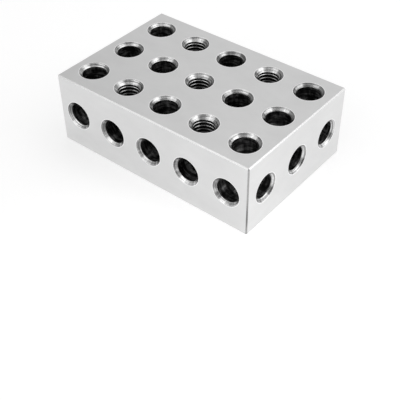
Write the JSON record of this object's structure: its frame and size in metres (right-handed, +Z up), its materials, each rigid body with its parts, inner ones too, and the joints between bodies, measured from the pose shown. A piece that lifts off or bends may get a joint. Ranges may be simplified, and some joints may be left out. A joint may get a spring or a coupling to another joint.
{
  "type": "machinist setup block",
  "caption": "Ground steel setup block in 1:2:3 proportions, with a grid of countersunk plain and tapped through holes crossing from all three directions.",
  "frame": {"origin": "middle of the underside", "axes": "+X along the 3 inch length, +Y along the 2 inch width, +Z up along the 1 inch height"},
  "size_m": [0.0762, 0.0508, 0.0254],
  "materials": {
    "ground_steel": "fine ground faces, bright turned countersinks, dark heat-treated bores"
  },
  "bodies": {
    "root": {"setup_block": "ground_steel"}
  },
  "joints": []
}
